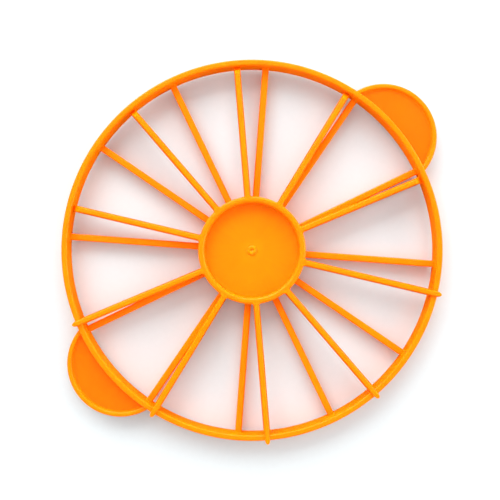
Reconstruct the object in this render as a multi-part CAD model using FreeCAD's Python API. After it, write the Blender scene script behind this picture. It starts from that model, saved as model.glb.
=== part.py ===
import FreeCAD, Part
import math
import os

# Cake divider, moulded in one piece. Pressed on a cake, its upper blades mark
# ten equal portions, and turned over, its lower blades mark twelve.
# Millimetres, +Z up, +X along the two handles. The origin is on the hub's axis,
# in the plane that the divider stands on.

# Ring that carries the ends of the blades
ring_diameter = 270.0
ring_wall = 4.4
ring_height = 14.0

# Hub, a short tube closed by a floor at half its height
hub_diameter = 76.4
hub_wall = 4.7
hub_floor = 2.4

# Place where the plastic was let in, a small dimpled boss on the hub's floor
gate_diameter = 7.0
gate_height = 1.2
dimple_diameter = 2.4
dimple_depth = 0.7

# Blades, wedges with the broad back at half height and the edge outwards
upper_count = 10
lower_count = 12
blade_width = 5.0
edge_width = 1.8
edge_stand = 2.0          # how far the edges stand out beyond the ring's faces
end_slope = 6.0           # length over which a blade's edge drops to the ring
end_rise = 2.0            # height of the edge above the back, at the ring

# Upper blades that run on over the ring, counted round from the +X handle.
# The others, and all the lower blades, end in the ring's inner wall.
over_steps = range(4, 9)
over_reach = 2.0          # how far their tips stand out beyond the ring

# Handles, two round lobes, lower than the ring, each a web inside a shallow rim
handle_diameter = 76.0
handle_reach = 26.5       # beyond the ring
handle_height = 8.0
handle_wall = 3.5
handle_web = 4.0

# Moulding
draft_angle = 1.5
wall_bevel = 0.7          # along the edges of the upright walls
back_radius = 0.9         # along the edges of a blade's back
eased_share = 0.9         # most of a flat that its eased edges may take
spare = 10.0              # how far a cutting shape reaches past what it cuts

# Worked out from the sizes above
total_height = ring_height + 2 * edge_stand
mid_height = total_height / 2
ring_radius = ring_diameter / 2
ring_centreline = ring_radius - ring_wall / 2
hub_radius = hub_diameter / 2
hub_centreline = hub_radius - hub_wall / 2
handle_radius = handle_diameter / 2
handle_centre = ring_radius + handle_reach - handle_radius
draft = math.tan(math.radians(draft_angle))
up_axis = FreeCAD.Vector(0, 0, 1)


def point(across, up):
    return FreeCAD.Vector(across, 0, up)


def round_wall(centreline, wall, height, axis_across=0.0):
    """Upright tube, thickest at half height and bevelled at its two faces."""
    face_half_width = wall / 2 - draft * height / 2
    bevel = min(wall_bevel, eased_share * face_half_width)
    shoulder_half_width = face_half_width + draft * bevel
    middle = axis_across + centreline
    half_section = [
        (face_half_width - bevel, -height / 2),
        (shoulder_half_width, bevel - height / 2),
        (wall / 2, 0),
        (shoulder_half_width, height / 2 - bevel),
        (face_half_width - bevel, height / 2),
    ]
    corners = [point(middle + out, mid_height + up) for out, up in half_section]
    corners += [point(middle - out, mid_height + up) for out, up in reversed(half_section)]
    section = Part.Face(Part.makePolygon(corners + corners[:1]))
    return section.revolve(point(axis_across, 0), up_axis, 360)


def disc(radius, thickness, axis_across=0.0):
    """Flat round plate centred at half height."""
    return Part.makeCylinder(radius, thickness, point(axis_across, mid_height - thickness / 2))


def make_ring():
    return round_wall(ring_centreline, ring_wall, ring_height)


def make_hub():
    wall = round_wall(hub_centreline, hub_wall, total_height)
    boss_top = mid_height + hub_floor / 2 + gate_height
    boss = Part.makeCylinder(gate_diameter / 2, boss_top - mid_height, point(0, mid_height))
    dimple = Part.makeCylinder(dimple_diameter / 2, spare, point(0, boss_top - dimple_depth))
    return wall.fuse([disc(hub_centreline, hub_floor), boss.cut(dimple)])


def rounded_outline(corners):
    """Closed wire in the XZ plane through corners (across, up, radius)."""
    starts = []
    middles = []
    ends = []
    for index, (across, up, radius) in enumerate(corners):
        corner = point(across, up)
        before = (point(*corners[index - 1][:2]) - corner).normalize()
        after = (point(*corners[(index + 1) % len(corners)][:2]) - corner).normalize()
        half_angle = before.getAngle(after) / 2
        setback = radius / math.tan(half_angle)
        bisector = (before + after).normalize()
        starts.append(corner + before * setback)
        ends.append(corner + after * setback)
        middles.append(corner + bisector * (radius / math.sin(half_angle) - radius))
    edges = []
    for index in range(len(corners)):
        following = starts[(index + 1) % len(corners)]
        edges.append(Part.Arc(starts[index], middles[index], ends[index]).toShape())
        edges.append(Part.LineSegment(ends[index], following).toShape())
    return Part.Wire(edges)


def blade_prism(end):
    """Wedge along +X, back down, from inside the hub's wall out to a radius."""
    back = blade_width / 2
    edge = edge_width / 2
    rounding = min(back_radius, eased_share * back)
    outline = rounded_outline([
        (-back, mid_height, rounding),
        (back, mid_height, rounding),
        (edge, total_height, eased_share * edge),
        (-edge, total_height, eased_share * edge),
    ])
    section = Part.Face(outline)
    section.rotate(FreeCAD.Vector(), up_axis, 90)
    section.translate(point(hub_centreline, 0))
    return section.extrude(point(end - hub_centreline, 0))


def cut_above(blade, inner, outer):
    """The blade without what lies above and outside a straight slope."""
    slope = (outer - inner).normalize()
    first = inner - slope * spare
    last = outer + slope * spare
    outline = Part.makePolygon([first, last, point(last.x, first.z), first])
    cutter = Part.Face(outline).extrude(FreeCAD.Vector(0, 2 * blade_width, 0))
    cutter.translate(FreeCAD.Vector(0, -blade_width, 0))
    return blade.cut(cutter)


def short_blade():
    """Blade whose edge drops as it gets to the ring, and ends in the ring's wall."""
    inner_wall = ring_radius - ring_wall
    slope_top = point(inner_wall - end_slope, total_height)
    slope_foot = point(inner_wall, mid_height + end_rise)
    return cut_above(blade_prism(ring_centreline), slope_top, slope_foot)


def over_blade():
    """Blade that runs on over the ring, with a drafted tip beyond it."""
    tip = ring_radius + over_reach
    tip_top = point(tip - draft * (total_height - mid_height), total_height)
    return cut_above(blade_prism(tip), tip_top, point(tip, mid_height))


def turned(shape, angle):
    return shape.rotated(FreeCAD.Vector(), up_axis, angle)


def make_upper_blades():
    """Blades with the edge up, spread half a step either side of the handles."""
    short = short_blade()
    over = over_blade()
    blades = []
    for step in range(upper_count):
        blade = over if step in over_steps else short
        blades.append(turned(blade, (step + 0.5) * 360 / upper_count))
    return blades


def make_lower_blades():
    """Blades with the edge down, spread half a step either side of the handles."""
    short = short_blade().mirror(point(0, mid_height), up_axis)
    return [turned(short, (step + 0.5) * 360 / lower_count) for step in range(lower_count)]


def make_handle():
    """Lobe on +X, cut off inside the ring's wall."""
    rim_centreline = handle_radius - handle_wall / 2
    rim = round_wall(rim_centreline, handle_wall, handle_height, handle_centre)
    lobe = rim.fuse(disc(rim_centreline, handle_web, handle_centre))
    return lobe.cut(Part.makeCylinder(ring_centreline, total_height))


def make_divider():
    handle = make_handle()
    pieces = [make_hub(), handle, turned(handle, 180)]
    pieces += make_upper_blades()
    pieces += make_lower_blades()
    return make_ring().fuse(pieces).removeSplitter().Solids[0]


os.makedirs("parts", exist_ok=True)
divider = make_divider()
divider.exportStep("parts/cake_divider.step")
print("cake divider", round(divider.Volume / 1000, 1), "cubic centimetres")
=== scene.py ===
# %% [markdown]
# # A cake divider, moulded in one piece of orange polypropylene
# The real tool is a thin plastic wheel with a round hub, a ring, two lobe handles and two sets of blades, one set
# on each face. Pressed on a cake it marks equal portions: ten with one face, twelve with the other.
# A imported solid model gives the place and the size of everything. We load it first and never move it.

# %% Load the solid model
import math

import bpy
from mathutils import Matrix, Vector


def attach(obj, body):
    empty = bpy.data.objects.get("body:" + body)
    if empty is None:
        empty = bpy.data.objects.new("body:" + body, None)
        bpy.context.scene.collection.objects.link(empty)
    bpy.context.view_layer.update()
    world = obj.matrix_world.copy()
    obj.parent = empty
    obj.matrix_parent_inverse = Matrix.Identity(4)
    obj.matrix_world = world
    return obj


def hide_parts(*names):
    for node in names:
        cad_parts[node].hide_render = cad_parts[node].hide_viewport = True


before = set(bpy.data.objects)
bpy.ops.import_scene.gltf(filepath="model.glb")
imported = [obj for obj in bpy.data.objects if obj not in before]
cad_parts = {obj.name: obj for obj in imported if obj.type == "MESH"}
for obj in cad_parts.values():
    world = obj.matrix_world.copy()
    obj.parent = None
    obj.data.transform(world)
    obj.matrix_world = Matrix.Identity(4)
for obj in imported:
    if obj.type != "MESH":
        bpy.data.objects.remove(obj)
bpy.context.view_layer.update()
mm = 0.001


# %% [markdown]
# ## Sizes
# The solid model was made from these millimetre sizes. The finer mesh that we make here stands in the same place,
# so it is made from the same sizes, with softer roundings and one exception. The blades' edges are 3.2 mm wide here
# and 1.8 mm in the solid. They were widened when the solid was already finished, so that they catch the light
# as the blunt edges of the real tool do. The handles are lower than the ring, and each is a thin web inside a shallow
# rim. Blender works in metres, so one small factor turns millimetres into them.

# %% Sizes of the moulding, in metres
ring_diameter, ring_wall, ring_height = 270 * mm, 4.4 * mm, 14 * mm
hub_diameter, hub_wall, hub_floor = 76.4 * mm, 4.7 * mm, 2.4 * mm
gate_diameter, gate_height = 7 * mm, 1.2 * mm
handle_diameter, handle_reach = 76 * mm, 26.5 * mm
handle_height, handle_wall, handle_web = 8 * mm, 3.5 * mm, 4 * mm
blade_width, edge_width, edge_stand = 5 * mm, 3.2 * mm, 2 * mm
end_slope, end_rise, over_reach = 6 * mm, 2 * mm, 2 * mm
draft = math.tan(math.radians(1.5))

# Roundings of the rims and the blades, and the length of a blade's nose
rim_rounding, hub_rounding, fillet = 1.2 * mm, 1.7 * mm, 1 * mm
back_rounding, edge_rounding = 1.1 * mm, 0.8 * mm
short_nose, over_nose = 0.2 * mm, 2.2 * mm

# Offsets too small to be seen: the blades' backs overlap, and their edges stay below the hub's rim
back_overlap, edge_shortfall = 0.05 * mm, 0.03 * mm

total_height = ring_height + 2 * edge_stand
middle_height = total_height / 2
ring_inside = ring_diameter / 2 - ring_wall
ring_centreline = ring_diameter / 2 - ring_wall / 2
hub_centreline = hub_diameter / 2 - hub_wall / 2
boss_height = hub_floor / 2 + gate_height  # from the middle of the hub's floor
handle_centre = ring_diameter / 2 + handle_reach - handle_diameter / 2
blade_height = middle_height - edge_shortfall
over_end = ring_diameter / 2 + over_reach
print("height over all", round(total_height / mm, 1), "mm, handle centres at", round(handle_centre / mm, 1), "mm")

# %% [markdown]
# ## The camera
# The tool was photographed from straight above its hub, with one handle towards the upper right. A camera is placed
# before anything else, because it decides how small a detail can be and still be seen. Here one pixel of the
# 500 x 500 picture is about 0.7 mm on the ring. The ring's inner wall shows as a band of the same width all round,
# which only happens when the camera stands over the middle, and its width tells how high the camera is.

# %% Camera over the hub
picture_side = 500
metres_per_pixel = 0.7055 * mm
camera_above_ring = 0.46
sensor_width = 36  # in mm, as a lens's length is
handle_turn = math.radians(49.3)  # between the picture's upright and the handle's line
right = Vector((math.sin(handle_turn), -math.cos(handle_turn), 0))
up = Vector((math.cos(handle_turn), math.sin(handle_turn), 0))
off_centre = right * 2.0 - up * 0.3  # in pixels

camera_data = bpy.data.cameras.new("camera")
camera_data.sensor_width = sensor_width
camera_data.lens = sensor_width * camera_above_ring / (picture_side * metres_per_pixel)
camera_data.clip_end = 20
camera = bpy.data.objects.new("camera", camera_data)
ring_top = middle_height + ring_height / 2
camera.location = Vector((0, 0, ring_top + camera_above_ring)) - off_centre * metres_per_pixel
camera.rotation_euler = (0, 0, handle_turn - math.radians(90))
bpy.context.scene.collection.objects.link(camera)
bpy.context.scene.camera = camera
print("lens", round(camera_data.lens, 1), "mm, camera at", [round(v, 3) for v in camera.location])

# %% [markdown]
# ## One function that adds a node
# Geometry and materials are both made of nodes. One function adds a node of any kind, sets its options and fills
# its inputs. An input gets either a plain value or the output of a node that is already there. A list links several
# outputs to an input that takes more than one. The small functions after it add the kinds that we need most often,
# and give back the result straight away.

# %% Node helpers
def add_node(tree, kind, settings={}, inputs={}):
    node = tree.nodes.new(kind)
    for name, value in settings.items():
        setattr(node, name, value)
    for name, value in inputs.items():
        for one in value if isinstance(value, list) else [value]:
            if isinstance(one, bpy.types.NodeSocket):
                tree.links.new(one, node.inputs[name])
            else:
                node.inputs[name].default_value = one
    return node


def calculate(tree, operation, *values, clamp=False):
    """One step of arithmetic."""
    settings = {"operation": operation, "use_clamp": clamp}
    return add_node(tree, "ShaderNodeMath", settings, dict(enumerate(values))).outputs[0]


def combine(tree, **parts):
    """A vector from its X, Y and Z, where a part that isn't given is zero."""
    return add_node(tree, "ShaderNodeCombineXYZ", {}, parts).outputs[0]


def remap(tree, value, low, high, to_low=0.0, to_high=1.0, smooth=False):
    """A value between low and high, carried over to the range between two others."""
    settings = {"interpolation_type": "SMOOTHSTEP" if smooth else "LINEAR"}
    return add_node(tree, "ShaderNodeMapRange", settings, {
        "Value": value, "From Min": low, "From Max": high, "To Min": to_low, "To Max": to_high}).outputs[0]


def new_geometry_tree(name, sizes):
    """Tree with one named input for each size, and its values as the inputs' own."""
    tree = bpy.data.node_groups.new(name, "GeometryNodeTree")
    for title, value in sizes.items():
        kind = "NodeSocketInt" if isinstance(value, int) else "NodeSocketFloat"
        tree.interface.new_socket(title, in_out="INPUT", socket_type=kind).default_value = value
    tree.interface.new_socket("Geometry", in_out="OUTPUT", socket_type="NodeSocketGeometry")
    return tree, tree.nodes.new("NodeGroupInput").outputs


def position_parts(tree):
    """X, Y and Z of each point."""
    position = add_node(tree, "GeometryNodeInputPosition").outputs[0]
    return add_node(tree, "ShaderNodeSeparateXYZ", {}, {0: position}).outputs


def finish_tree(tree, geometry):
    add_node(tree, "NodeGroupOutput", {}, {"Geometry": geometry})
    print(tree.name, "has", len(tree.nodes), "nodes")
    return tree


# %% [markdown]
# ## A round upright wall
# The ring, the hub's rim and the handles' rims are all the same kind of wall: a narrow upright strip that runs round
# a circle. It could be a cylinder with a smaller one cut out, but then the edges would be knife sharp. A moulded
# wall is thickest at half height, where the two halves of the mould met, and leans in by a degree or two towards
# both faces so that it comes out of the mould. Its edges are softly rounded. So we draw the cross-section once, as a
# rectangle with two more points at half height, round its four corners, and sweep it round a circle.

# %% Tree of a round wall
def make_round_wall_tree():
    tree, size = new_geometry_tree("round wall", {
        "Centreline": ring_centreline, "Width": ring_wall, "Height": ring_height, "Swell": ring_height * draft / 2,
        "Rounding": rim_rounding, "Steps": 96, "Corner Steps": 5})
    box = add_node(tree, "GeometryNodeCurvePrimitiveQuadrilateral", {}, {
        "Width": size["Width"], "Height": size["Height"]})
    halved = add_node(tree, "GeometryNodeSubdivideCurve", {}, {0: box.outputs[0], "Cuts": 1})

    # The section lies in the XY plane: X runs through the wall, and Y up it.
    tiny = 1e-6
    place = position_parts(tree)
    height = calculate(tree, "ABSOLUTE", place["Y"])
    is_halfway = calculate(tree, "LESS_THAN", height, tiny)
    push = calculate(tree, "MULTIPLY", calculate(tree, "SIGN", place["X"]), size["Swell"])
    push = calculate(tree, "MULTIPLY", push, is_halfway)
    swollen = add_node(tree, "GeometryNodeSetPosition", {}, {0: halved.outputs[0], "Offset": combine(tree, X=push)})

    # Only a corner is away from both middle lines.
    away = calculate(tree, "MULTIPLY", calculate(tree, "ABSOLUTE", place["X"]), height)
    is_corner = calculate(tree, "GREATER_THAN", away, tiny * mm)
    radius = calculate(tree, "MULTIPLY", is_corner, size["Rounding"])
    section = add_node(tree, "GeometryNodeFilletCurve", {"mode": "POLY"}, {
        0: swollen.outputs[0], "Count": size["Corner Steps"], "Radius": radius})

    path = add_node(tree, "GeometryNodeCurvePrimitiveCircle", {}, {
        "Resolution": size["Steps"], "Radius": size["Centreline"]})
    wall = add_node(tree, "GeometryNodeCurveToMesh", {}, {
        0: path.outputs[0], "Profile Curve": section.outputs[0]})
    return finish_tree(tree, wall.outputs[0])


round_wall_tree = make_round_wall_tree()

# %% [markdown]
# ## A blade
# A blade is a wedge: broad at its back, at half height, and narrow at the edge that presses into the icing. Most
# blades end in the ring's inner wall, and there the edge slopes down to leave the ring's face free. Some run on over
# the ring and end in a slim blunt nose. One tree makes both kinds, because only their lengths differ.
# The wedge's outline is swept along a line with a few stations. At the stations past the slope's start the edge
# slides down along the two flanks, so that the flanks stay flat, and at the nose the section gets narrower. Where
# the blade meets the hub and the ring its flanks flare out in small fillets, which strengthen the joint and catch a
# soft patch of light.

# %% Tree of a blade
nose_stations = 6
nose_turn = 1.3  # radians, short of a right angle, so that the nose ends blunt
fillet_shares = (0.0, 0.25, 0.5, 0.75, 1.0)  # where the stations lie along a fillet
edge_share = 0.8  # what lies above this share of the blade's height is its edge


def blade_section(tree, size, half_back, half_edge, index):
    """Outline of the wedge with rounded corners. Its edge points to -Y, which the sweep turns upwards."""
    top = calculate(tree, "MULTIPLY", size["Height"], -1.0)
    corners = {}
    for number, (half, level, side) in enumerate([
            (half_back, size["Sink"], 1.0), (half_back, size["Sink"], -1.0),
            (half_edge, top, -1.0), (half_edge, top, 1.0)]):
        across = calculate(tree, "MULTIPLY", half, side)
        corners[f"Point {number + 1}"] = combine(tree, X=across, Y=level)
    outline = add_node(tree, "GeometryNodeCurvePrimitiveQuadrilateral", {"mode": "POINTS"}, corners)
    is_edge = calculate(tree, "GREATER_THAN", index, 1.5)  # the last two of the points 0 to 3
    radius = add_node(tree, "ShaderNodeMix", {"data_type": "FLOAT"}, {
        0: is_edge, 2: size["Back Rounding"], 3: size["Edge Rounding"]})
    return add_node(tree, "GeometryNodeFilletCurve", {"mode": "POLY"}, {
        0: outline.outputs[0], "Count": 5, "Radius": radius.outputs[0]}).outputs[0]


def blade_path(tree, size, index):
    """Line along +X with a point at each station, which also says how narrow the nose is there."""
    near_hub = [
        calculate(tree, "MULTIPLY_ADD", size["Hub Fillet"], share, size["Hub Face"]) for share in fillet_shares]
    near_ring = [
        calculate(tree, "MULTIPLY_ADD", size["Ring Fillet"], share - 1, size["Slope End"]) for share in fillet_shares]
    marks = [size["Start"]] + near_hub + [size["Slope Start"]] + near_ring
    stations = len(marks) + nose_stations

    # The nose is part of an ellipse.
    turn = remap(tree, index, len(marks), stations - 1, 0.0, nose_turn)
    narrowing = calculate(tree, "COSINE", turn)
    back_off = remap(tree, calculate(tree, "SINE", turn), 0.0, math.sin(nose_turn), -1.0, 0.0)
    nose = calculate(tree, "MULTIPLY_ADD", back_off, size["Nose"], size["End"])

    along = add_node(tree, "GeometryNodeIndexSwitch", {"data_type": "FLOAT"})
    while len(along.index_switch_items) < len(marks) + 1:
        along.index_switch_items.new()
    mark_number = calculate(tree, "MINIMUM", index, len(marks))
    for socket, source in zip(along.inputs, [mark_number] + marks + [nose]):
        tree.links.new(source, socket)
    points = add_node(tree, "GeometryNodePoints", {}, {
        "Count": stations, "Position": combine(tree, X=along.outputs[0])})
    named = add_node(tree, "GeometryNodeStoreNamedAttribute", {"data_type": "FLOAT"}, {
        0: points.outputs[0], "Name": "narrowing", "Value": narrowing})
    return add_node(tree, "GeometryNodePointsToCurves", {}, {0: named.outputs[0]}).outputs[0]


def fillet_flare(tree, size, along, face, side, radius):
    """How far a flank stands out near a face, as a quarter circle of the fillet's radius."""
    away = calculate(tree, "SUBTRACT", along, size[face])
    away = calculate(tree, "MULTIPLY", away, side)
    away = calculate(tree, "DIVIDE", away, size[radius])
    near = calculate(tree, "SUBTRACT", 1.0, away, clamp=True)
    level = calculate(tree, "SUBTRACT", 1.0, calculate(tree, "MULTIPLY", near, near))
    flare = calculate(tree, "SUBTRACT", 1.0, calculate(tree, "SQRT", level))
    return calculate(tree, "MULTIPLY", flare, size[radius])


def make_blade_tree():
    tree, size = new_geometry_tree("blade", {
        "Width": blade_width, "Edge": edge_width, "Height": blade_height, "Sink": back_overlap,
        "Back Rounding": back_rounding, "Edge Rounding": edge_rounding, "Start": hub_centreline,
        "Hub Face": hub_diameter / 2, "Slope Start": ring_inside - end_slope, "Slope End": ring_inside,
        "End": ring_centreline, "End Height": end_rise, "Nose": short_nose, "Hub Fillet": fillet,
        "Ring Fillet": fillet})
    half_back = calculate(tree, "MULTIPLY", size["Width"], 0.5)
    half_edge = calculate(tree, "MULTIPLY", size["Edge"], 0.5)
    index = add_node(tree, "GeometryNodeInputIndex").outputs[0]
    section = blade_section(tree, size, half_back, half_edge, index)
    path = blade_path(tree, size, index)
    wedge = add_node(tree, "GeometryNodeCurveToMesh", {}, {0: path, "Profile Curve": section, "Fill Caps": True})

    # Slide the edge down the flanks along the slope.
    place = position_parts(tree)
    edge_height = remap(
        tree, place["X"], size["Slope Start"], size["Slope End"], size["Height"], size["End Height"])
    drop = calculate(tree, "SUBTRACT", size["Height"], edge_height)
    is_edge = calculate(tree, "GREATER_THAN", place["Z"], calculate(tree, "MULTIPLY", size["Height"], edge_share))
    drop = calculate(tree, "MULTIPLY", drop, is_edge)
    lean = calculate(tree, "DIVIDE", calculate(tree, "SUBTRACT", half_back, half_edge), size["Height"])
    spread = calculate(tree, "MULTIPLY", lean, drop)
    side = calculate(tree, "SIGN", place["Y"])
    new_y = calculate(tree, "MULTIPLY_ADD", side, spread, place["Y"])
    new_z = calculate(tree, "SUBTRACT", place["Z"], drop)

    # Narrow the nose and flare the flanks at the hub and the ring.
    narrowing = add_node(tree, "GeometryNodeInputNamedAttribute", {"data_type": "FLOAT"}, {"Name": "narrowing"})
    new_y = calculate(tree, "MULTIPLY", new_y, narrowing.outputs[0])
    for face, outwards, radius in (("Hub Face", 1.0, "Hub Fillet"), ("Slope End", -1.0, "Ring Fillet")):
        flare = fillet_flare(tree, size, place["X"], face, outwards, radius)
        new_y = calculate(tree, "MULTIPLY_ADD", side, flare, new_y)
    new_place = combine(tree, X=place["X"], Y=new_y, Z=new_z)
    shaped = add_node(tree, "GeometryNodeSetPosition", {}, {0: wedge.outputs[0], "Position": new_place})
    return finish_tree(tree, shaped.outputs[0])


blade_tree = make_blade_tree()

# %% [markdown]
# ## The gate's boss
# Molten plastic was let into the mould at the middle of the hub. The mark of it is a low round boss with a dimple.
# A lathe profile would do, but a disc made of rings is simpler here: the height of each ring is read off a curve.

# %% Tree of the boss
crown_line = (  # from the axis to the rim: how far out, and how high, both as shares
    (0.0, 0.62), (0.2, 0.62), (0.42, 0.97), (0.6, 1.0), (0.82, 0.96), (1.0, 0.66))


def make_boss_tree():
    tree, size = new_geometry_tree("gate boss", {"Radius": gate_diameter / 2, "Height": boss_height})
    disc = add_node(tree, "GeometryNodeMeshCylinder", {"fill_type": "TRIANGLE_FAN"}, {
        "Vertices": 48, "Fill Segments": 24, "Radius": size["Radius"], "Depth": size["Height"]})
    place = position_parts(tree)
    flat = combine(tree, X=place["X"], Y=place["Y"])
    out = add_node(tree, "ShaderNodeVectorMath", {"operation": "LENGTH"}, {0: flat})
    share = calculate(tree, "DIVIDE", out.outputs["Value"], size["Radius"])
    crown = add_node(tree, "ShaderNodeFloatCurve", {}, {"Value": share})
    line = crown.mapping.curves[0]
    line.points[0].location, line.points[1].location = crown_line[0], crown_line[-1]
    for along, level in crown_line[1:-1]:
        line.points.new(along, level)
    crown.mapping.update()
    is_upper = calculate(tree, "GREATER_THAN", place["Z"], 0.0)
    low = calculate(tree, "SUBTRACT", crown.outputs[0], 1.0)
    low = calculate(tree, "MULTIPLY", low, size["Height"])
    low = calculate(tree, "MULTIPLY", low, is_upper)
    shaped = add_node(tree, "GeometryNodeSetPosition", {}, {0: disc.outputs[0], "Offset": combine(tree, Z=low)})
    return finish_tree(tree, shaped.outputs[0])


boss_tree = make_boss_tree()

# %% [markdown]
# ## Colour, from a hex value to light
# A colour picked from a screen is stored for the eye, not for adding light. Blender's shaders want linear values, so
# one function turns a hex colour into them.

# %% Colour helper
def linear(hex_colour):
    channels = [int(hex_colour[i:i + 2], 16) / 255 for i in (1, 3, 5)]
    return tuple(c / 12.92 if c <= 0.04045 else ((c + 0.055) / 1.055) ** 2.4 for c in channels) + (1.0,)


print("orange in linear light:", [round(c, 3) for c in linear("#FC7A00")])

# %% [markdown]
# ## Orange polypropylene, injection moulded
# Polypropylene is a milky plastic coloured all through. Light goes a millimetre or two into it and comes out deeper
# and redder, which is why its shaded walls glow. The mould was polished by hand and left a satin surface: it has a
# very fine grain, and broad waves too shallow to feel that make reflections swim. The melt ran outwards from the
# middle of the hub and left faint streaks in its colour, and a slightly paler spot round the gate. Where the two
# halves of the mould met, a hairline runs round every wall at half height.

# %% Material of the whole moulding
def noise(tree, place, scale, detail, roughness=0.5):
    return add_node(tree, "ShaderNodeTexNoise", {}, {
        "Vector": place, "Scale": scale, "Detail": detail, "Roughness": roughness}).outputs["Fac"]


def vector_math(tree, operation, *values):
    return add_node(tree, "ShaderNodeVectorMath", {"operation": operation}, dict(enumerate(values))).outputs


def blend(tree, share, first, second):
    """Mix of two colours."""
    return add_node(tree, "ShaderNodeMix", {"data_type": "RGBA"}, {0: share, 6: first, 7: second}).outputs[2]


def painted_web_shade_mask(tree, axes, from_axis):
    """Painted shade: 1 on the handles' webs, beyond the ring's outer face and inside the handle's rim, where the
    colour is drawn deeper.
    """
    ring_outside = ring_diameter / 2
    beyond = remap(tree, from_axis, ring_outside - 0.4 * mm, ring_outside + 0.4 * mm)
    across = calculate(tree, "SUBTRACT", calculate(tree, "ABSOLUTE", axes["X"]), handle_centre)
    from_centre = vector_math(tree, "LENGTH", combine(tree, X=across, Y=axes["Y"]))["Value"]
    rim_inside = handle_diameter / 2 - handle_wall
    inside = remap(tree, from_centre, rim_inside - 1.4 * mm, rim_inside - 0.2 * mm, 1.0, 0.0, smooth=True)
    return calculate(tree, "MULTIPLY", beyond, inside)


def make_polypropylene():
    material = bpy.data.materials.new("polypropylene_orange_moulded_satin")
    material.use_nodes = True
    tree = material.node_tree
    tree.nodes.clear()
    place = add_node(tree, "ShaderNodeTexCoord").outputs["Object"]
    axes = add_node(tree, "ShaderNodeSeparateXYZ", {}, {0: place}).outputs

    # Flow streaks: noise read mostly by its direction from the gate, so that it is stretched outwards. The two
    # numbers give about 20 streaks to a radian, each 5 mm wide at 100 mm from the gate.
    streak_scale, direction_weight = 2.2, 9
    flat = vector_math(tree, "MULTIPLY", place, (1, 1, 0))["Vector"]
    from_gate = vector_math(tree, "LENGTH", flat)["Value"]
    heading = vector_math(tree, "NORMALIZE", flat)["Vector"]
    streak_place = vector_math(tree, "MULTIPLY_ADD", heading, (direction_weight,) * 3, place)["Vector"]
    streaks = noise(tree, streak_place, streak_scale, 4.0, 0.6)
    clouds = noise(tree, place, 1 / (18 * mm), 3.0)
    tone = add_node(tree, "ShaderNodeMix", {"data_type": "FLOAT"}, {0: 0.4, 2: streaks, 3: clouds})
    colour = add_node(tree, "ShaderNodeValToRGB", {}, {0: tone.outputs[0]})
    deep, pale = colour.color_ramp.elements
    deep.position, deep.color = 0.3, linear("#FC7A00")
    pale.position, pale.color = 0.72, linear("#FE8400")

    # The gate's paler spot, and painted shade on the handles' thin webs: a deeper orange that stands in for the shade
    # they lie in and the light that passes through them.
    near_gate = remap(tree, from_gate, 3 * mm, 11 * mm, 0.35, 0.0, smooth=True)
    blushed = blend(tree, near_gate, colour.outputs[0], linear("#FF9208"))
    web_shade_painted = blend(tree, painted_web_shade_mask(tree, axes, from_gate), blushed, linear("#FF6A00"))

    # Hairline of the mould's halves, at half height
    off_line = calculate(tree, "ABSOLUTE", calculate(tree, "SUBTRACT", axes["Z"], middle_height))
    hairline = remap(tree, off_line, 0.05 * mm, 0.22 * mm, 1.0, 0.0, smooth=True)

    # Satin surface: broad waves, and a grain of 0.4 mm, drawn coarser than the real one so that it shows
    grain = noise(tree, place, 1 / (0.4 * mm), 2.0)
    waves = noise(tree, place, 1 / (11 * mm), 1.0)
    roughness = remap(tree, clouds, 0.3, 0.7, 0.36, 0.44)
    bumped = None
    for height, strength, distance in ((hairline, 0.5, 0.1 * mm), (waves, 0.15, 0.3 * mm), (grain, 0.05, 0.06 * mm)):
        below = {"Normal": bumped} if bumped else {}
        bumped = add_node(tree, "ShaderNodeBump", {}, {
            "Strength": strength, "Distance": distance, "Height": height, **below}).outputs[0]

    # A thin smoother skin, where the melt touched the cold mould, gives the rounded rims their fine bright line.
    plastic = add_node(tree, "ShaderNodeBsdfPrincipled", {}, {
        "Base Color": web_shade_painted, "Roughness": roughness, "Normal": bumped,
        "IOR": 1.49, "Specular IOR Level": 0.38, "Specular Tint": linear("#FFC070"),
        "Coat Weight": 0.15, "Coat Roughness": 0.15,
        "Subsurface Weight": 0.5, "Subsurface Radius": (1.0, 0.25, 0.04), "Subsurface Scale": 2.5 * mm})
    add_node(tree, "ShaderNodeOutputMaterial", {}, {"Surface": plastic.outputs[0]})
    print(material.name, "has", len(tree.nodes), "nodes")
    return material


polypropylene = make_polypropylene()

# %% [markdown]
# ## The whole divider
# The pieces of the moulding are put together in one tree, around its half height. The blades of one face are ten
# copies of one blade, turned by equal steps, and those of the other face are twelve, turned over about their own
# length and not mirrored, because a mirror would turn them inside out. Then one union melts everything into a single
# closed skin, as in the mould. A slight difference of height keeps any two flat faces from lying exactly in one
# plane, which a union doesn't like: the blades stay 0.03 mm below the hub's rim.

# %% Tree of the divider
ring_steps, small_steps, corner_steps = 288, 160, 7
sharp_angle = math.radians(32)  # an edge that bends more than this stays sharp


def boolean(tree, operation, inputs):
    """Union of "Mesh 2", or "Mesh 1" without it."""
    settings = {"operation": operation, "solver": "MANIFOLD"}
    return add_node(tree, "GeometryNodeMeshBoolean", settings, inputs).outputs[0]


def move(tree, piece, **how):
    return add_node(tree, "GeometryNodeTransform", {}, {0: piece, **how}).outputs[0]


def wall(tree, size, centreline, width, height, rounding, steps):
    """Round wall with its two faces narrowed by the draft."""
    narrowing = calculate(tree, "MULTIPLY", height, size["Draft"])
    return add_node(tree, "GeometryNodeGroup", {"node_tree": round_wall_tree}, {
        "Centreline": centreline, "Width": calculate(tree, "SUBTRACT", width, narrowing), "Height": height,
        "Swell": calculate(tree, "MULTIPLY", narrowing, 0.5), "Rounding": rounding, "Steps": steps,
        "Corner Steps": corner_steps}).outputs[0]


def plate(tree, radius, thickness, steps):
    return add_node(tree, "GeometryNodeMeshCylinder", {}, {
        "Vertices": steps, "Radius": radius, "Depth": thickness}).outputs[0]


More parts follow.
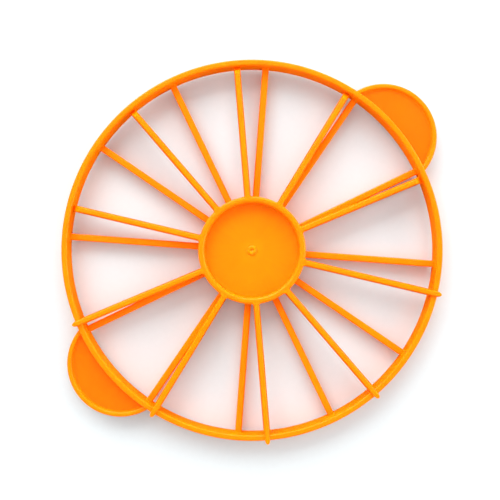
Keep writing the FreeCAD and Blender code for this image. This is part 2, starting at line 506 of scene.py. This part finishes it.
def blade(tree, size, end, nose, end_height, ring_fillet):
    return add_node(tree, "GeometryNodeGroup", {"node_tree": blade_tree}, {
        "Width": size["Blade Width"], "Edge": size["Edge Width"], "Height": size["Blade Height"],
        "Start": size["Hub Centreline"], "Hub Face": size["Hub Face"], "Slope Start": size["Slope Start"],
        "Slope End": size["Slope End"], "End": end, "Nose": nose, "End Height": end_height,
        "Hub Fillet": size["Fillet"], "Ring Fillet": ring_fillet}).outputs[0]


def turned_copies(tree, piece, count, index, **chosen):
    """Copies about the axis, the first half a step past the +X handle."""
    points = add_node(tree, "GeometryNodePoints", {}, {"Count": count}).outputs[0]
    step = calculate(tree, "DIVIDE", math.tau, count)
    angle = calculate(tree, "MULTIPLY", calculate(tree, "ADD", index, 0.5), step)
    copies = add_node(tree, "GeometryNodeInstanceOnPoints", {}, {
        "Points": points, "Instance": piece, "Rotation": combine(tree, Z=angle), **chosen})
    return add_node(tree, "GeometryNodeRealizeInstances", {}, {0: copies.outputs[0]}).outputs[0]


def make_handles(tree, size):
    """A lobe lower than the ring with a shallow rim, cut off inside the ring's wall, and the same turned round."""
    half_wall = calculate(tree, "MULTIPLY", size["Handle Wall"], 0.5)
    rim_line = calculate(tree, "SUBTRACT", size["Handle Radius"], half_wall)
    rim = wall(
        tree, size, rim_line, size["Handle Wall"], size["Handle Height"], size["Rim Rounding"], small_steps)
    web = plate(tree, rim_line, size["Handle Web"], small_steps)
    lobe = boolean(tree, "UNION", {"Mesh 2": [rim, web]})
    lobe = move(tree, lobe, Translation=combine(tree, X=size["Handle Centre"]))
    core = plate(tree, size["Ring Centreline"], 2 * total_height, ring_steps)
    handle = boolean(tree, "DIFFERENCE", {"Mesh 1": lobe, "Mesh 2": [core]})
    return [handle, move(tree, handle, Rotation=(0, 0, math.pi))]


def make_blades(tree, size, index):
    """Both faces' blades. On the upper face a run of them goes on over the ring."""
    from_first = add_node(tree, "FunctionNodeCompare", {"data_type": "INT", "operation": "GREATER_EQUAL"}, {
        2: index, 3: size["First Over"]})
    to_last = add_node(tree, "FunctionNodeCompare", {"data_type": "INT", "operation": "LESS_EQUAL"}, {
        2: index, 3: size["Last Over"]})
    is_over = add_node(tree, "FunctionNodeBooleanMath", {"operation": "AND"}, {
        0: from_first.outputs[0], 1: to_last.outputs[0]}).outputs[0]
    is_short = add_node(tree, "FunctionNodeBooleanMath", {"operation": "NOT"}, {0: is_over}).outputs[0]
    short = blade(tree, size, size["Ring Centreline"], short_nose, size["End Height"], size["Fillet"])
    over = blade(tree, size, size["Over End"], over_nose, size["Blade Height"], 0.0)
    turned_over = move(tree, short, Rotation=(math.pi, 0, 0))
    return [
        turned_copies(tree, short, size["Upper Count"], index, Selection=is_short),
        turned_copies(tree, over, size["Upper Count"], index, Selection=is_over),
        turned_copies(tree, turned_over, size["Lower Count"], index)]


def make_divider_tree():
    tree, size = new_geometry_tree("cake divider", {
        "Ring Centreline": ring_centreline, "Ring Wall": ring_wall, "Ring Height": ring_height,
        "Hub Centreline": hub_centreline, "Hub Wall": hub_wall, "Hub Height": total_height, "Hub Floor": hub_floor,
        "Hub Face": hub_diameter / 2, "Gate Radius": gate_diameter / 2, "Boss Height": boss_height,
        "Handle Radius": handle_diameter / 2, "Handle Centre": handle_centre, "Handle Height": handle_height,
        "Handle Wall": handle_wall, "Handle Web": handle_web,
        "Blade Width": blade_width, "Edge Width": edge_width, "Blade Height": blade_height,
        "Slope Start": ring_inside - end_slope, "Slope End": ring_inside, "End Height": end_rise,
        "Over End": over_end, "Upper Count": 10, "Lower Count": 12, "First Over": 4, "Last Over": 8,
        "Draft": draft, "Rim Rounding": rim_rounding, "Hub Rounding": hub_rounding, "Fillet": fillet})
    index = add_node(tree, "GeometryNodeInputIndex").outputs[0]

    ring = wall(
        tree, size, size["Ring Centreline"], size["Ring Wall"], size["Ring Height"], size["Rim Rounding"], ring_steps)
    hub_rim = wall(
        tree, size, size["Hub Centreline"], size["Hub Wall"], size["Hub Height"], size["Hub Rounding"], small_steps)
    floor = plate(tree, size["Hub Centreline"], size["Hub Floor"], small_steps)
    boss = add_node(tree, "GeometryNodeGroup", {"node_tree": boss_tree}, {
        "Radius": size["Gate Radius"], "Height": size["Boss Height"]}).outputs[0]
    half_boss = calculate(tree, "MULTIPLY", size["Boss Height"], 0.5)
    boss = move(tree, boss, Translation=combine(tree, Z=half_boss))
    pieces = [ring, hub_rim, floor, boss] + make_handles(tree, size) + make_blades(tree, size, index)
    union = boolean(tree, "UNION", {"Mesh 2": pieces})
    stood = move(tree, union, Translation=(0, 0, middle_height))

    # Smooth faces, with the edges that bend much kept sharp
    bend = add_node(tree, "GeometryNodeInputMeshEdgeAngle").outputs[0]
    is_soft = calculate(tree, "LESS_THAN", bend, sharp_angle)
    faces = add_node(tree, "GeometryNodeSetShadeSmooth", {"domain": "FACE"}, {0: stood, "Shade Smooth": True})
    edges = add_node(tree, "GeometryNodeSetShadeSmooth", {"domain": "EDGE"}, {
        0: faces.outputs[0], "Shade Smooth": is_soft})
    real = add_node(tree, "GeometryNodeRealizeInstances", {}, {0: edges.outputs[0]})
    coloured = add_node(tree, "GeometryNodeSetMaterial", {}, {0: real.outputs[0], "Material": polypropylene})
    return finish_tree(tree, coloured.outputs[0])


divider_tree = make_divider_tree()

# %% [markdown]
# ## From tree to mesh
# The tree is hung on an empty object as a modifier, evaluated once, and the result is kept as a plain mesh. A
# weighted-normal modifier goes last: it lets the large flat faces keep their own shading and leaves the bending to
# the small rounded edges, as light does on a real moulding.

# %% Evaluate the divider
def mesh_from_tree(name, tree):
    source = bpy.data.objects.new(name + "_source", bpy.data.meshes.new(name + "_source"))
    bpy.context.scene.collection.objects.link(source)
    nodes = source.modifiers.new("shape", "NODES")
    nodes.node_group = tree
    for item in tree.interface.items_tree:
        if item.in_out == "INPUT":
            nodes[item.identifier] = item.default_value
    normals = source.modifiers.new("flat faces stay flat", "WEIGHTED_NORMAL")
    normals.keep_sharp = True
    bpy.context.view_layer.update()
    evaluated = source.evaluated_get(bpy.context.evaluated_depsgraph_get())
    mesh = bpy.data.meshes.new_from_object(evaluated)
    bpy.data.objects.remove(source)
    piece = bpy.data.objects.new(name, mesh)
    bpy.context.scene.collection.objects.link(piece)
    return piece


divider = mesh_from_tree("divider_moulding", divider_tree)
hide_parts("cake_divider")
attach(divider, "root")
triangles = sum(len(face.vertices) - 2 for face in divider.data.polygons)
print("divider:", len(divider.data.vertices), "points,", triangles, "triangles")

# %% [markdown]
# ## Floor and light
# The tool lies on a plain pale floor. The main light is a large soft rectangle beyond the top of the picture and a
# little to its left, so the flanks that face it are bright and the walls that face away glow a deeper orange. A
# weaker one stands at the right, and a pale sky fills the shadows, brightest low down and on the main light's side.
# Floor and sky are hidden from glossy rays. A satin wall that is seen nearly along its surface would mirror them,
# and their white would wash out its deep orange.

# %% Floor
floor_half_side = 2.0


def make_floor():
    # Matt paper: a pale ground without reflections, faintly mottled by its fibres, that sets off the satin plastic.
    material = bpy.data.materials.new("matt_paper_backdrop")
    material.use_nodes = True
    tree = material.node_tree
    tree.nodes.clear()
    place = add_node(tree, "ShaderNodeTexCoord").outputs["Object"]
    fibres = noise(tree, place, 1 / (4 * mm), 3.0)
    colour = add_node(tree, "ShaderNodeValToRGB", {}, {0: fibres})
    for stop, hex_colour in zip(colour.color_ramp.elements, ("#C5CBCD", "#C9CFD1")):
        stop.color = linear(hex_colour)
    paper = add_node(tree, "ShaderNodeBsdfPrincipled", {}, {"Base Color": colour.outputs[0], "Roughness": 0.9})
    add_node(tree, "ShaderNodeOutputMaterial", {}, {"Surface": paper.outputs[0]})

    corners = [
        (x * floor_half_side, y * floor_half_side, 0) for x, y in ((-1, -1), (1, -1), (1, 1), (-1, 1))]
    mesh = bpy.data.meshes.new("floor")
    mesh.from_pydata(corners, [], [(0, 1, 2, 3)])
    mesh.materials.append(material)
    floor = bpy.data.objects.new("floor", mesh)
    floor.visible_glossy = False
    bpy.context.scene.collection.objects.link(floor)
    print("floor:", 2 * floor_half_side, "m along each side")


make_floor()

# %% Lights
lamp_distance = 3.0


def add_soft_light(name, direction, width, height, watts):
    data = bpy.data.lights.new(name, "AREA")
    data.shape = "RECTANGLE"
    data.size = width
    data.size_y = height
    data.energy = watts
    light = bpy.data.objects.new(name, data)
    light.location = direction.normalized() * lamp_distance
    light.rotation_euler = direction.to_track_quat("Z", "Y").to_euler()
    light.visible_camera = False
    bpy.context.scene.collection.objects.link(light)
    print(name, "at", [round(v, 2) for v in light.location], "with", watts, "W")


toward_light = (up - right * 0.3).normalized()
add_soft_light("main_light", toward_light + Vector((0, 0, 0.58)), width=4.0, height=2.4, watts=145)
add_soft_light("side_light", right + up * 0.1 + Vector((0, 0, 0.3)), width=3.0, height=1.5, watts=60)

# %% Sky
def make_sky():
    sky = bpy.data.worlds.new("pale_sky")
    sky.use_nodes = True
    tree = sky.node_tree
    tree.nodes.clear()
    direction = add_node(tree, "ShaderNodeTexCoord").outputs["Generated"]
    facing = vector_math(tree, "DOT_PRODUCT", direction, toward_light)["Value"]
    lean = remap(tree, facing, -1.0, 1.0, 0.72, 1.28)
    height = add_node(tree, "ShaderNodeSeparateXYZ", {}, {0: direction}).outputs["Z"]
    horizon = remap(tree, height, 0.2, 0.9, 1.8, 1.0, smooth=True)
    brightness = calculate(tree, "MULTIPLY", lean, horizon)
    light = add_node(tree, "ShaderNodeBackground", {}, {"Color": linear("#FFFFFF"), "Strength": brightness})
    add_node(tree, "ShaderNodeOutputWorld", {}, {"Surface": light.outputs[0]})
    sky.cycles_visibility.glossy = False
    bpy.context.scene.world = sky
    print(sky.name, "has", len(tree.nodes), "nodes")


make_sky()
bpy.context.scene.view_settings.view_transform = "Standard"
bpy.context.scene.view_settings.look = "None"
